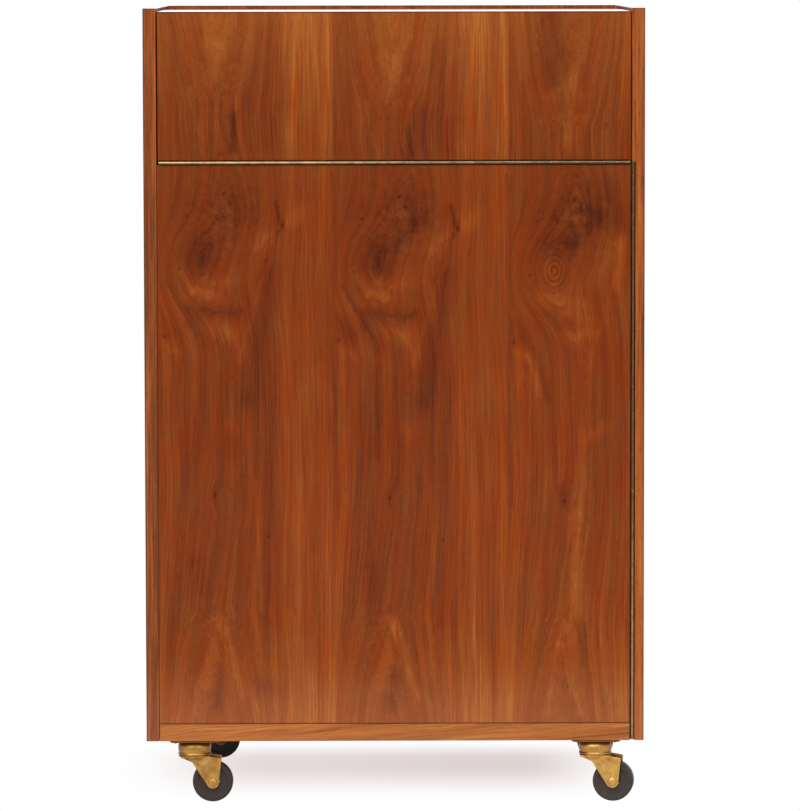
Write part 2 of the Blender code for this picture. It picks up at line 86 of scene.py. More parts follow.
# Soft strokes of the figure: from (across, height) to (across, height), half width, and the change of tone
# in the left, the middle and the right leaf
STROKES = (
    (43, 536, 45, 547, 15, -0.34, -0.36, 0.0), (40, 556, 58, 560, 12, 0.0, 0.0, -0.24),
    (30, 587, 82, 592, 22, -0.08, -0.10, -0.12), (71, 604, 80, 590, 9, -0.03, -0.05, -0.10),
    (82, 576, 60, 556, 8, -0.04, -0.20, -0.12), (20, 527, 34, 508, 5, 0.17, 0.15, 0.04),
    (36, 507, 55, 502, 7, 0.18, 0.16, 0.06), (54, 512, 68, 515, 9, 0.18, 0.16, 0.06),
    (51, 510, 56, 509, 3, -0.12, -0.12, 0.0), (30, 505, 74, 499, 8, 0.0, 0.0, 0.17),
    (55, 490, 78, 485, 6, 0.0, 0.0, 0.17), (60, 469, 80, 473, 7, 0.0, 0.0, 0.19),
    (119, 567, 92, 535, 1.4, -0.10, -0.11, 0.0), (119, 566, 97, 515, 1.4, -0.10, -0.10, 0.0),
    (119, 566, 105, 500, 1.4, -0.09, -0.10, 0.0), (10, 610, 12, 520, 16, -0.07, -0.10, -0.04),
    (171, 620, 171, 300, 2.5, -0.12, -0.12, 0.0), (1, 620, 3, 300, 2.5, 0.0, -0.10, -0.10),
    (82, 522, 104, 553, 10, 0.05, 0.05, 0.11), (70, 528, 78, 522, 8, 0.05, 0.05, 0.0),
    (98, 552, 104, 560, 10, 0.17, 0.15, 0.04), (86, 590, 92, 580, 8, 0.0, 0.0, -0.12),
    (112, 562, 103, 518, 7, 0.0, 0.0, 0.15), (131, 574, 138, 582, 7.5, 0.16, 0.16, 0.0),
    (30, 488, 80, 485, 5, -0.19, -0.20, -0.02), (54, 470, 72, 466, 9, 0.16, 0.15, 0.04),
    (71, 464, 79, 444, 6, 0.12, 0.13, 0.03), (105, 530, 79, 438, 2.5, 0.11, 0.11, 0.09),
    (111, 525, 89, 400, 11, -0.17, -0.18, 0.03), (85, 400, 88, 390, 7, -0.08, -0.02, 0.0),
    (70, 376, 75, 371, 7, 0.10, 0.09, 0.0), (80, 370, 94, 380, 6, 0.0, 0.0, 0.15),
    (9, 516, 36, 464, 2.8, -0.09, -0.15, -0.05), (15, 517, 41, 470, 2.0, 0.05, 0.07, 0.05),
    (34, 478, 44, 456, 8, -0.10, -0.16, -0.02), (8, 478, 16, 464, 8, -0.04, -0.22, -0.12),
    (6, 455, 20, 446, 4.5, 0.16, 0.10, 0.16), (8, 440, 14, 408, 8, 0.07, 0.04, 0.09),
    (16, 458, 30, 410, 3, 0.0, 0.03, 0.17), (25, 455, 39, 405, 3.5, 0.0, 0.0, -0.16),
    (42, 430, 44, 350, 9, -0.05, -0.06, -0.02), (158, 426, 160, 405, 9, 0.10, 0.09, 0.0),
    (66, 400, 66, 110, 42, -0.04, -0.06, 0.02), (111, 430, 106, 90, 8, -0.04, -0.04, 0.0),
    (95, 320, 100, 193, 2.8, 0.15, 0.09, 0.0), (65, 290, 68, 196, 8, 0.0, 0.0, 0.20),
    (66, 345, 66, 296, 6, 0.0, 0.0, 0.08), (52, 318, 56, 306, 6, 0.0, 0.0, -0.14),
    (30, 430, 34, 200, 14, -0.02, -0.07, 0.0), (86, 692, 84, 656, 14, 0.0, -0.10, 0.0),
    (38, 240, 40, 215, 9, -0.08, -0.05, 0.0), (55, 180, 47, 118, 6, 0.11, 0.12, 0.0),
    (59, 178, 82, 110, 6, 0.14, 0.13, 0.03), (58, 134, 58, 96, 6, -0.13, -0.12, -0.04),
    (95, 120, 115, 112, 9, -0.10, -0.03, 0.0), (51, 166, 36, 95, 3, 0.0, 0.0, 0.1),
    (52, 166, 70, 95, 3, 0.0, 0.0, 0.1), (57, 792, 57, 750, 13, 0.11, 0.09, 0.0),
    (57, 745, 55, 714, 7.5, 0.13, 0.13, 0.0), (40, 815, 44, 740, 12, 0.0, 0.0, -0.17),
    (41, 722, 65, 747, 6, 0.0, 0.0, 0.10), (63, 735, 61, 680, 9, 0.0, 0.0, 0.11),
    (138, 800, 138, 640, 17, 0.07, 0.07, 0.05), (73, 676, 74, 646, 5, -0.24, -0.14, -0.05),
    (105, 760, 105, 645, 9, -0.06, -0.08, 0.0), (8, 790, 8, 645, 13, -0.07, -0.13, -0.09),
    (98, 616, 112, 574, 9, 0.0, 0.0, -0.13), (32, 703, 44, 644, 2.5, 0.12, 0.10, 0.05),
    (114, 592, 121, 571, 2.2, -0.26, -0.28, 0.0),
)
# Areas of one leaf: across, height, reach across, reach up
KNOT_AREA = (62, 548, 60, 66)
MOTTLED_AREA = (66, 584, 36, 38)
# Eye of the right leaf: across, height, and the half sizes that its rings are counted in
EYE = (44.5, 532.0, 5.0, 7.0)

# Edges of the boards, in millimetres: a level, or a soft step from one level to another
SIDE_FRONT = -160.4
BACK_FRONT = 150.6
SIDE_OUT = (242.8, 243.8)
RIM_TOP = (780.2, 781.2)
# FLAP_TOP and PANEL_FOOT hold painted shadow lines: at the flap's top edge and at the panel's foot above the
# rail
FLAP_TOP = (776.4, 777.4)
FLAP_FOOT = (630.0, 632.0)
PANEL_FOOT = (80.2, 81.0)
# Soft steps in y, in millimetres, behind which painted shade lies: in the hinges' gaps and on the rear
# casters
HINGE_DEEP = (-161.7, -160.8)
CASTER_DEEP = (-100, 160)
# Ways that the brass grows duller: axis, from, to, in millimetres. Along the flap hinge it is painted light:
# the left end lit brighter
ALONG_FLAP = (X, -260, 260)
UP_DOOR = (Z, 70, 360)
ALONG_CASTERS = (X, 753, -1152)

# Piano hinges, in metres
KNUCKLE_PAIR = 0.0254
KNUCKLE_PLAY = 0.0002
BARREL_RADIUS = 0.0014
BARREL_EASE = 0.0002
STRIP_NEAR, STRIP_FAR = 0.0023, 0.01215
STRIP_IN, STRIP_OUT = 0.001, 0.002
HINGE_SCREW_STEP = 0.085
HINGE_SCREW_DEPTH = 0.0078
# Screws: radius, dome, depth of the slot
HINGE_SCREW = (0.0023, 0.0003, 0.0005)
PLATE_SCREW = (0.003, 0.0011, 0.0008)

# Casters, in metres
PLATE_CORNER, PLATE_RIM = 0.007, 0.0007
PLATE_SCREW_X, PLATE_SCREW_Y = 0.0185, 0.0135
FORK_GAP = 0.0003
CROWN_RADIUS, CROWN_THICK = 0.0158, 0.002
LEG_TIP, LEG_THICK, LEG_RIM = 0.0063, 0.002, 0.0005
LEG_PLACE, LEG_REACH, LEG_STEPS = 0.0109, 0.0156, 8
FLARE_BELOW, FLARE_TALL = 0.005, 0.0055
AXLE_LENGTH, AXLE_HEAD, AXLE_DOME = 0.0268, 0.0043, 0.0013
WHEEL_RADIUS, WHEEL_WIDTH = 0.02, 0.017

# Meshes: points closer than this in metres are one, and edges sharper than this in degrees stay sharp
WELD = 2e-6
SHARP = 35.0

# Colours in sRGB, from dark to light where there are several
RED_WALNUT = ((84, 33, 16), (114, 48, 19), (137, 58, 19), (158, 74, 24), (188, 102, 37))
GOLD_WALNUT = ((82, 38, 19), (110, 53, 24), (131, 66, 27), (152, 82, 34), (182, 110, 49))
LIGHT_WALNUT = ((118, 64, 36), (148, 80, 42), (174, 94, 43), (186, 105, 50), (200, 122, 64))
# Pale pink of the floor's painted reflection, low on the boards
FLOOR_REFLECTION_PINK = (205, 152, 124)
DARK_EDGE = (96, 66, 48)
PALE_WOOD = ((142, 80, 41), (165, 97, 51), (180, 110, 58), (192, 122, 64), (208, 142, 80))
PAINTED_SHEEN_WHITE = (255, 255, 255)
AWAY_SHADE_BROWN = (112, 68, 32)
DEEP_SHADE_BROWN = (82, 57, 36)
STEEL = ((112, 110, 106), (150, 149, 146), (176, 175, 172))
PLASTIC = ((52, 36, 26), (70, 50, 36), (84, 62, 46))
RUBBER = ((16, 14, 13), (42, 37, 33), (60, 53, 48), (82, 73, 66))


class Wire:
    """Output socket of a shader node. Arithmetic on it adds Math nodes, and node() adds any other node."""

    def __init__(self, socket):
        self.socket = socket

    def node(self, kind, settings=None, inputs=None, output=0):
        """Output of a new node in this tree: settings first, then the values or links of its sockets."""
        tree = self.socket.id_data
        made = tree.nodes.new("ShaderNode" + kind)
        for name, value in (settings or {}).items():
            if name == "stops":
                set_stops(made.color_ramp, value)
            else:
                setattr(made, name, value)
        for name, value in (inputs or {}).items():
            if isinstance(value, Wire):
                tree.links.new(value.socket, made.inputs[name])
            else:
                made.inputs[name].default_value = value
        return Wire(made.outputs[output])

    def maths(self, operation, *values):
        return self.node("Math", {"operation": operation}, dict(enumerate(values)))

    def __add__(self, other):
        return self.maths("ADD", self, other)

    def __sub__(self, other):
        return self.maths("SUBTRACT", self, other)

    def __rsub__(self, other):
        return self.maths("SUBTRACT", other, self)

    def __mul__(self, other):
        return self.maths("MULTIPLY", self, other)

    def __truediv__(self, other):
        return self.maths("DIVIDE", self, other)

    def __neg__(self):
        return self.maths("MULTIPLY", self, -1.0)

    __radd__ = __add__
    __rmul__ = __mul__

    def squared(self):
        return self.maths("MULTIPLY", self, self)

    def root(self):
        return self.maths("SQRT", self)

    def exp(self):
        return self.maths("EXPONENT", self)

    def floor(self):
        return self.maths("FLOOR", self)

    def size(self):
        return self.maths("ABSOLUTE", self)

    def above(self, other):
        return self.maths("MAXIMUM", self, other)

    def rise(self, low, high):
        """0 below low, 1 above high, and a smooth step between."""
        settings = {"interpolation_type": "SMOOTHSTEP", "clamp": False}
        return self.node("MapRange", settings, {0: self, 1: low, 2: high, 3: 0.0, 4: 1.0})

    def noise(self, second=0.0, third=0.0, detail=2.0, rough=0.5):
        """Noise about 0 at the place (this, second, third), in units of its own grain."""
        place = self.node("CombineXYZ", None, {0: self, 1: second, 2: third})
        inputs = {"Vector": place, "Scale": 1.0, "Detail": detail, "Roughness": rough}
        return self.node("TexNoise", None, inputs) - 0.5

    def colour(self, *stops):
        """Colour ramp over 0 to 1 through evenly spaced sRGB colours."""
        return self.node("ValToRGB", {"stops": stops}, {0: self})

    def blend(self, first, second):
        """Mix of two colours by this factor."""
        return self.node("Mix", {"data_type": "RGBA"}, {0: self, 6: first, 7: second}, 2)


def linear(colour):
    """Linear RGBA of an 8-bit sRGB colour."""
    share = np.array(colour) / 255
    return (*np.where(share <= 0.04045, share / 12.92, ((share + 0.055) / 1.055) ** 2.4).tolist(), 1.0)


def set_stops(ramp, colours):
    """Evenly spaced colours on a ramp."""
    last = len(colours) - 1
    while len(ramp.elements) <= last:
        ramp.elements.new(0.5)
    for number, colour in enumerate(colours):
        ramp.elements[number].position = number / last
        ramp.elements[number].color = linear(colour)


def new_finish(name):
    """New material: the material, its Principled shader, and Object coordinates x, y, z in millimetres."""
    made = bpy.data.materials.new(name)
    made.use_nodes = True
    tree = made.node_tree
    shader = tree.nodes["Principled BSDF"]
    here = Wire(tree.nodes.new("ShaderNodeTexCoord").outputs["Object"])
    here = here.node("VectorMath", {"operation": "SCALE"}, {0: here, "Scale": 1 / MM})
    return made, shader, [here.node("SeparateXYZ", None, {0: here}, axis) for axis in range(3)]


def feed(shader, values):
    """Values and links of a shader's sockets."""
    for name, value in values.items():
        if isinstance(value, Wire):
            shader.id_data.links.new(value.socket, shader.inputs[name])
        else:
            shader.inputs[name].default_value = value


def bump(height, depth, strength):
    """Normal of a surface with this height, 0 to 1, over a depth in metres."""
    return height.node("Bump", None, {"Strength": strength, "Distance": depth, "Height": height})


def hump(across, along, spot):
    """Bell over a spot (across, along, half width, half length).

    It is e to minus the squared distance from the spot, counted in half sizes.
    """
    beside = across.maths("MULTIPLY_ADD", across, 1 / spot[2], -spot[0] / spot[2]).squared()
    beyond = along.maths("MULTIPLY_ADD", along, 1 / spot[3], -spot[1] / spot[3]).squared()
    return (-(beside + beyond)).exp()


def wood_lines(ring, along, vary, late_share=1.0):
    """Tone and pores of wood whose annual lines are where ring is constant.

    A saw-tooth of the ring darkens slowly and then breaks off, as late wood does, with uneven steps and
    strengths. Noise that is short across the rings and long along them gives the lines between, and a finer
    one that breaks off sooner gives the open pores.
    """
    broad = (ring / 10.0).noise(along / 260.0, vary, 1.0)
    step = ring / 4.4 + (ring / 19.0).noise(along / 230.0, vary + 5.0, 1.0) * 3.4
    saw = step - step.floor()
    late = saw.squared().squared() * ((ring / 8.0).noise(along / 150.0, vary + 11.0, 1.0) + 0.40).above(0.0)
    fine = (ring / 1.5).noise(along / 75.0, vary * 2.0 + 3.0, 3.0, 0.65)
    pores = (ring * 1.2).noise(along / 11.0, vary + 9.0, 1.0).rise(0.06, 0.24)
    return broad * 0.5 + fine * (late_share * 0.4 + 0.4) - late * late_share * 0.28 + 0.03, pores


def stroked(place, leaves, strokes):
    """Sum of soft strokes, each e to minus the squared distance from its line in half widths, times its tone.

    The tone is the dot product of the leaf's weights with the stroke's three tones.
    """
    def vector(operation, *values, output=0):
        return place.node("VectorMath", {"operation": operation}, dict(enumerate(values)), output)

    total = 0.0
    for left, low, right, high, wide, *tones in strokes:
        run = np.array((right - left, high - low, 0.0))
        start = vector("SUBTRACT", place, (left, low, 0.0))
        share = vector("DOT_PRODUCT", start, (run / (run @ run)).tolist(), output=1)
        share = share.node("Clamp", None, {0: share})
        nearest = share.node("VectorMath", {"operation": "SCALE"}, {0: run.tolist(), "Scale": share})
        away = vector("DISTANCE", start, nearest, output=1)
        bell = away.maths("POWER", math.exp(-1.0 / wide**2), away.squared())
        total = bell.maths("MULTIPLY_ADD", bell, vector("DOT_PRODUCT", leaves, tones, output=1), total)
    return total


def walnut_colour(tone, across, along, vary, share):
    """Walnut of this tone, redder in some patches and more golden in others, long along the grain."""
    gold = (across / 13.0).noise(along / 55.0, vary, 3.0) * 3.0 + share
    return gold.blend(tone.colour(*RED_WALNUT), tone.colour(*GOLD_WALNUT))


def with_floor_reflection(height, colour, share):
    """Colour with a pale haze near the floor, thinner with height: a painted reflection of the floor."""
    return ((1.0 - height.rise(*FLOOR_REFLECTION_HEIGHTS)) * share).blend(colour, linear(FLOOR_REFLECTION_PINK))


def glanced(place):
    """1 on faces that look up and are seen at a glancing angle, else 0: where the white sheen is painted."""
    normal = place.node("NewGeometry", None, None, 1)
    up = normal.node("SeparateXYZ", None, {0: normal}, Z).rise(*FACING)
    return place.node("LayerWeight", None, {0: 0.5}, 1).rise(*GLANCING) * up


def figured_front(name):
    """Front veneer: leaves cut one after another from a log with a knot, laid side by side.

    Across a leaf the ring coordinate is the distance from the heart line. Bells at the knots make closed
    rings and push the lines aside, and a slope at the flap and at the bottom closes the lines to points.
    Soft strokes give the broad light and dark figure.
    """
    made, shader, (x, _, z) = new_finish(name)
    leaf = ((x - LEAF_LEFT) / LEAF_WIDTH).floor()
    first, last = 1.0 - leaf.rise(0.4, 0.6), leaf.rise(1.4, 1.6)
    leaves = leaf.node("CombineXYZ", None, {0: first, 1: 1.0 - first - last, 2: last})
    leaf_x = x - LEAF_LEFT - leaf * LEAF_WIDTH
    leaf_z = z + leaf * (z.rise(*FLAP_FOOT) * (FLAP_LEAF_DROP - LEAF_DROP) + LEAF_DROP)
    change = leaf * LEAF_CHANGE
    # A zero, for bells that reach in one direction only
    nothing = x * 0.0
    # Waves that bend the lines, stronger about the knots
    knotty = hump(leaf_x, leaf_z, KNOT_AREA)
    sway = (leaf_z / 190.0).noise(change, 4.0, 1.0) * 7.0
    ripple = (leaf_x / 24.0).noise(leaf_z / 75.0, change + 7.0, 2.0) * (knotty * 6.0 + 3.0)
    curl = (leaf_x / 9.0).noise(leaf_z / 11.0, change + 2.0, 2.0) * 6.0 * knotty
    across = leaf_x + sway + ripple + curl
    up = leaf_z + (leaf_x / 13.0).noise(leaf_z / 15.0, change + 21.0, 2.0) * 12.0 * (knotty + 0.15)
    # Rings about the heart line, closed to points at both ends and pushed aside by the knots
    near = hump(leaf_x, nothing, (58, 0, 54, 1))
    heart = leaf_z.rise(110, 330) * 20.0 - leaf_z.rise(430, 520) * 7.0 - leaf_z.rise(610, 680) * 8.0 - 8.0
    heart = heart * near + 60.0
    heart = heart - hump(leaf_x, leaf_z, (50, 530, 48, 40)) * 24.0
    off = across - heart
    core = hump(off, nothing, (0, 0, 42, 1))
    ring = (off.squared() + 30.0).root()
    jag = (leaf_x / 5.0).noise(leaf_z / 60.0, change + 61.0, 3.0, 0.6) * 70.0
    flap_rise = (leaf_z + jag - FLAP_POINTS).above(0.0) * core
    foot_drop = (FOOT_POINTS - leaf_z + jag).above(0.0) * core
    ring = ring - flap_rise * 0.4 - foot_drop * (0.4 - last * 0.16)
    tilted = up - (across - 46.0).above(0.0) * 0.45
    for number, (at, height, wide, tall, push) in enumerate(KNOTS):
        ring = ring - hump(across, up if number else tilted, (at, height, wide, tall)) * push
    # Tone of the lines, then the leaf's edges, the strokes, the spots, the eye and the pin knots
    mottled = hump(leaf_x, leaf_z, MOTTLED_AREA)
    ends = leaf_z.rise(680, 720) + 1.0 - leaf_z.rise(150, 190)
    late = 0.75 - (knotty * 0.45 + mottled * 0.2) - ends * 0.35
    tone, pores = wood_lines(ring, leaf_z, off / 60.0 + change, late)
    tone = tone * (1.0 - core * (ends * 0.12 + leaf_z.rise(680, 720) * 0.23))
    edge = leaf_x + sway * 0.5 + ripple * 0.5 - hump(nothing, leaf_z, (0, 560, 1, 60)) * 4.0
    tone = tone + edge.rise(98, 132) * (0.12 - leaf_z.rise(640, 660) * 0.03) - edge.rise(4, 22) * 0.05
    wisp = (leaf_x / 5.0).noise(leaf_z / 45.0, change + 31.0, 2.0)
    streaked = leaf.node("CombineXYZ", None, {
        0: leaf_x + wisp * (9.0 - knotty * 8.0) + ripple * 0.5 + curl * 0.6,
        1: leaf_z + (leaf_x / 6.0).noise(leaf_z / 13.0, change + 41.0, 2.0) * 16.0,
    })
    figure = stroked(streaked, leaves, STROKES) * (wisp * (1.4 - knotty) + 1.0)
    spots = (leaf_x / 6.5).noise(leaf_z / 7.0, change + 17.0, 3.0, 0.6)
    tone = tone + figure + (spots * 0.7 - 0.06) * mottled + spots * core * 0.16
    eye_x, eye_z, eye_wide, eye_tall = EYE
    eye = (((leaf_x - eye_x) / eye_wide).squared() + ((leaf_z - eye_z) / eye_tall).squared()).root()
    rings = eye.maths("SINE", eye * 7.5 + spots * 2.0)
    tone = tone + rings * hump(eye, nothing, (0.6, 0.0, 1.6, 1.0)) * last * 0.2
    for at, height, wide, tall, shade in PIN_KNOTS:
        tone = tone - hump(leaf_x, leaf_z, (at, height, wide, tall)) * shade
    # Painted light at the foot and the top, lighter and more golden as if lit from the floor and from above,
    # with faint painted shade at about 600 mm; flecks; and painted shadow lines at the ends
    lit_foot_and_top = hump(nothing, z, (0, 62, 1, 85)) * 0.28 + hump(nothing, z, (0, 800, 1, 75)) * 0.2
    flecks = (leaf_x / 3.0).noise(leaf_z / 28.0, change + 81.0, 3.0, 0.6).rise(0.08, 0.32) * core
    tone = tone - flecks * (0.17 - knotty * 0.1)
    flap, foot = leaf_z.rise(640, 660), 1.0 - z.rise(170, 290)
    # Painted shadow lines: under the white sheen at the flap's top edge, and at the panel's foot above the
    # rail
    tone = tone - z.rise(*FLAP_TOP) * 0.3 - (1.0 - z.rise(*PANEL_FOOT)) * 0.4
    tone = tone * (flap * 0.4 + foot * 0.26 + 1.0) + flap * 0.02 + lit_foot_and_top
    tone = tone - hump(nothing, z, (0, 600, 1, 90)) * 0.03 + 0.49 - pores * 0.13
    gold = z.rise(560, 760) * 0.35 + lit_foot_and_top + foot * 0.2 + figure.above(0.0) * knotty * 1.6 + 0.42
    colour = walnut_colour(tone, leaf_x, leaf_z, change + 71.0, gold)
    # Painted sheen: faces that look up and are seen at a glancing angle are painted white, and they also get
    # a real coat
    glance = glanced(z)
    feed(shader, {
        "Base Color": glance.blend(with_floor_reflection(z, colour, 0.1), linear(PAINTED_SHEEN_WHITE)),
        "Coat Weight": glance,
        "Coat Roughness": 0.3,
        "Roughness": 0.42 + pores * 0.14,
        "Specular IOR Level": 0.05,
        "Normal": bump(1.0 - pores, 0.00012, 0.3),
    })
    return made


def walnut_board(name, grain, thin, seed, edge_lift=0.0, edge_at=-1000.0):
    """Plain walnut veneer on a board: its grain runs along one axis and its thickness along another.

    Leaves are laid side by side across the face. On the board's ends the lines follow the end's length.
    What lies before edge_at in y is lighter wood, lifted by edge_lift, shaded with height and darker along
    the cabinet's outer edges.
    """
    made, shader, place = new_finish(name)
    wide = X + Y + Z - grain - thin
    normal = place[X].node("NewGeometry", None, None, 1)
    end = normal.node("SeparateXYZ", None, {0: normal}, grain).size().rise(*FACING)
    face = place[wide] + place[thin]
    along = place[grain] * (1.0 - end) + place[wide] * end
    spread = face * (1.0 - end) + place[thin] * end
    leaf = ((spread + BOARD_LEAF_START + seed) / BOARD_LEAF_WIDTH).floor()
    leaf_x = spread + BOARD_LEAF_START + seed - leaf * BOARD_LEAF_WIDTH
    leaf_z = along + leaf * BOARD_LEAF_DROP + seed * 7.0
    front = 1.0 - place[Y].rise(edge_at - 0.1, edge_at + 0.1)
    sway = (leaf_z / 170.0).noise(seed, leaf * LEAF_CHANGE, 1.0) * (20.0 - front * 18.0)
    ripple = (leaf_x / 30.0).noise(leaf_z / 70.0, seed + leaf * LEAF_CHANGE, 2.0) * (8.0 - front * 7.0)
    off = leaf_x + sway + ripple - 74.0
    wave = (leaf_z / 420.0).noise(seed + 2.0, 0.0, 0.0) * (160.0 - front * 155.0)
    ring = (off.squared() + 49.0).root() - wave * hump(off, leaf_z * 0.0, (0, 0, 46, 1))
    tone, pores = wood_lines(ring, leaf_z, off / 60.0 + leaf * LEAF_CHANGE + seed)
    tone = tone * 1.3 + 0.5 - pores * 0.16
    colour = walnut_colour(tone, leaf_x, leaf_z, leaf * LEAF_CHANGE + seed, 0.5)
    if edge_lift:
        # Darker along the outer side edges and along the top edge
        dark_edges = place[X].size().rise(*SIDE_OUT).above(place[Z].rise(*RIM_TOP)) * 0.75
        shade = place[Z].rise(520, 780) * (edge_lift + 0.28) + place[Z].rise(80, 260) * 0.1
        lifted = (tone * 1.5 - 0.15 + edge_lift - shade).colour(*LIGHT_WALNUT)
        colour = front.blend(colour, dark_edges.blend(lifted, linear(DARK_EDGE)))
    # Painted sheen: faces that look up and are seen at a glancing angle are painted white, and they also get
    # a real coat
    glance = glanced(place[Z])
    if thin != X:
        # The rear half of the top would mirror the rim behind it, so the painted white sheen stops there
        glance = glance * (1.0 - place[Y].rise(-10, 50))
    feed(shader, {
        "Base Color": glance.blend(with_floor_reflection(place[Z], colour, 0.12), linear(PAINTED_SHEEN_WHITE)),
        "Coat Weight": glance,
        "Coat Roughness": 0.3,
        "Roughness": 0.4 + pores * 0.16,
        "Specular IOR Level": 0.03,
        "Normal": bump(1.0 - pores, 0.00012, 0.35),
    })
    return made


def pale_rail(name):
    """Pale solid wood with its grain along x, a little aslant: lines long across the cabinet, short up it."""
    made, shader, (x, y, z) = new_finish(name)
    across = z + y * 0.8 - x * 0.09
    sway = (x / 70.0).noise(across / 20.0, 2.0, 2.0) * 7.0
    ring = across + sway
    tone, pores = wood_lines(ring * 1.3, x * 0.8, y / 60.0)
    clouds = (x / 26.0).noise(ring / 4.0, 6.0, 2.0)
    tone = tone * 1.7 + clouds * 0.5 - x.rise(-240, 60) * 0.1 + 0.58 - pores * 0.2
    feed(shader, {
        "Base Color": tone.colour(*PALE_WOOD),
        "Roughness": 0.45 + pores * 0.12,
        "Specular IOR Level": 0.08,
        "Normal": bump(1.0 - pores, 0.0001, 0.3),
    })
    return made


def dulled_brass(name, bright, dull, rough, grime, fade, deep):
    """Brass, tarnished brown in clouds, with fine scratches along z and darker grime in spots.

    Along the fade (axis, from, to) the brass grows duller; along the flap hinge that is painted light, its
    left end lit brighter. What lies deeper in y than a soft step (from, to) is painted dark, as shade. Faces
    that turn
    away from the camera are browner: painted shade for the darker things they would reflect.
    """
    made, shader, (x, y, z) = new_finish(name)
    axis, start, end = fade
    # Along the flap hinge the fade is painted light: the left end is lit brighter
    clouds = (x / 9.0).noise(y / 9.0, z / 9.0, 3.0, 0.6) + (x, y, z)[axis].rise(start, end) * 0.6 - 0.25
    scratches = (x * 1.7).noise(y * 1.7, z / 6.0, 2.0)
    spots = (x / 1.6).noise(y / 1.6, z / 1.6, 2.0).rise(0.1, 0.26)
    tarnish_and_light = (clouds * 1.2 + (scratches + spots) * grime + 0.5).rise(0.0, 1.0)
    # Painted shade: faces turned from the camera are browner, for the darker things they would reflect
    away = x.node("LayerWeight", None, {0: 0.5}, 1).rise(0.03, 0.62) * 0.75
    colour = away.blend(tarnish_and_light.blend(linear(bright), linear(dull)), linear(AWAY_SHADE_BROWN))
    feed(shader, {
        # Painted shade: brass deeper in y than the step is darkened, in the hinges' gaps and on the rear
        # casters
        "Base Color": y.rise(*deep).blend(colour, linear(DEEP_SHADE_BROWN)),
        "Metallic": 1.0,
        "Roughness": tarnish_and_light * 0.14 + scratches * grime * 0.5 + rough,
        "Normal": bump(scratches, 0.00008, grime * 0.6),
    })
    return made


def plain_steel(name):
    """Zinc-grey steel with drawn streaks and dull clouds."""
    made, shader, (x, y, z) = new_finish(name)
    clouds = (x / 6.0).noise(y / 6.0, z / 6.0, 3.0)
    streaks = (x * 2.0).noise(y * 2.0, z / 5.0, 2.0)
    feed(shader, {
        "Base Color": (clouds + streaks * 0.4 + 0.5).colour(*STEEL),
        "Metallic": 1.0,
        "Roughness": 0.36 + clouds * 0.3,
        "Normal": bump(streaks, 0.00005, 0.2),
    })
    return made


def moulded_plastic(name):
    """Brown moulded plastic with a fine pebbled skin."""
    made, shader, (x, y, z) = new_finish(name)
    clouds = (x / 8.0).noise(y / 8.0, z / 8.0, 2.0)
    pebbles = (x * 2.5).noise(y * 2.5, z * 2.5, 1.0)
    feed(shader, {
        "Base Color": (clouds + 0.5).colour(*PLASTIC),
        "Roughness": 0.5 + pebbles * 0.2,
        "Normal": bump(pebbles, 0.0001, 0.3),
    })
    return made


def scuffed_rubber(name, axle):
    """Hard grey-black rubber: dust in clouds, fine moulding rings about the axle, paler scuffs."""
    made, shader, (x, y, z) = new_finish(name)
    out = ((x - axle[X]).squared() + (y - axle[Y]).squared() + (z - axle[Z]).squared()).root()
    clouds = (x / 5.0).noise(y / 5.0, z / 5.0, 3.0, 0.6)
    rings = (out * 1.3).noise(clouds * 0.6, 3.0, 2.0)
    specks = (x * 1.4).noise(y * 1.4, z * 1.4, 1.0).rise(0.12, 0.3)
    tone = 0.62 + clouds * 0.6 + rings * 0.5 + specks * 0.12 - out.rise(20.0, 21.4) * 0.2
    # Painted shade: the wheels towards the rear, under the cabinet, are darker; the tone also rises a little
    # towards +x
    tone = tone - y.rise(-60, 60) * 0.5 + x.rise(-260, 260) * 0.12
    feed(shader, {
        "Base Color": tone.colour(*RUBBER),
        "Specular IOR Level": 0.3,
        "Roughness": 0.62 + clouds * 0.4,
        "Normal": bump(rings + specks * 0.4, 0.00015, 0.35),
    })
    return made


def grid_faces(rows, columns, close_rows=False, close_columns=True):
    """Quads of a grid of points held row by row; a closed direction joins its last line to its first."""
    row, column = np.meshgrid(
        np.arange(rows - (not close_rows)), np.arange(columns - (not close_columns)), indexing="ij"
    )
    below, beside = (row + 1) % rows, (column + 1) % columns
    quads = np.stack((
        row * columns + column, row * columns + beside, below * columns + beside, below * columns + column,
    ))
    return quads.reshape(4, -1).T


def eased(corners, steps=6):
    """Closed outline of (a, b, reach) corners.

    Each corner becomes the quadratic curve from the point that lies its reach before it to the one after it.
    """
    corners = np.array(corners, float)
    point, reach = corners[:, :2], corners[:, 2:]
    before, after = np.roll(point, 1, 0) - point, np.roll(point, -1, 0) - point
    start = point + before / np.linalg.norm(before, axis=1, keepdims=True) * reach
    end = point + after / np.linalg.norm(after, axis=1, keepdims=True) * reach
    t = np.linspace(0.0, 1.0, steps)[None, :, None]
    curve = (1 - t) ** 2 * start[:, None] + 2 * t * (1 - t) * point[:, None] + t**2 * end[:, None]
    return curve.reshape(-1, 2)


def turned(outline, sides, closed=False):
    """Outline of (radius, height) points carried round Z by the cosine and the sine of the angle."""
    outline = np.array(outline, float)
    angle = np.linspace(0.0, 2 * np.pi, sides, endpoint=False)
    radius, height = outline[:, :1], outline[:, 1:]
    points = np.stack((radius * np.cos(angle), radius * np.sin(angle), height + 0 * angle), -1)
    return points.reshape(-1, 3), grid_faces(len(outline), sides, closed)


def carried(outline, start, end):
    """Closed outline in XY carried straight along Z, its ends closed to their middles."""
    middle = outline.mean(0)
    rings = np.stack((outline * 0 + middle, outline, outline, outline * 0 + middle))
    height = np.array((start, start, end, end))[:, None, None] + np.zeros((4, len(outline), 1))
    return np.concatenate((rings, height), -1).reshape(-1, 3), grid_faces(4, len(outline))


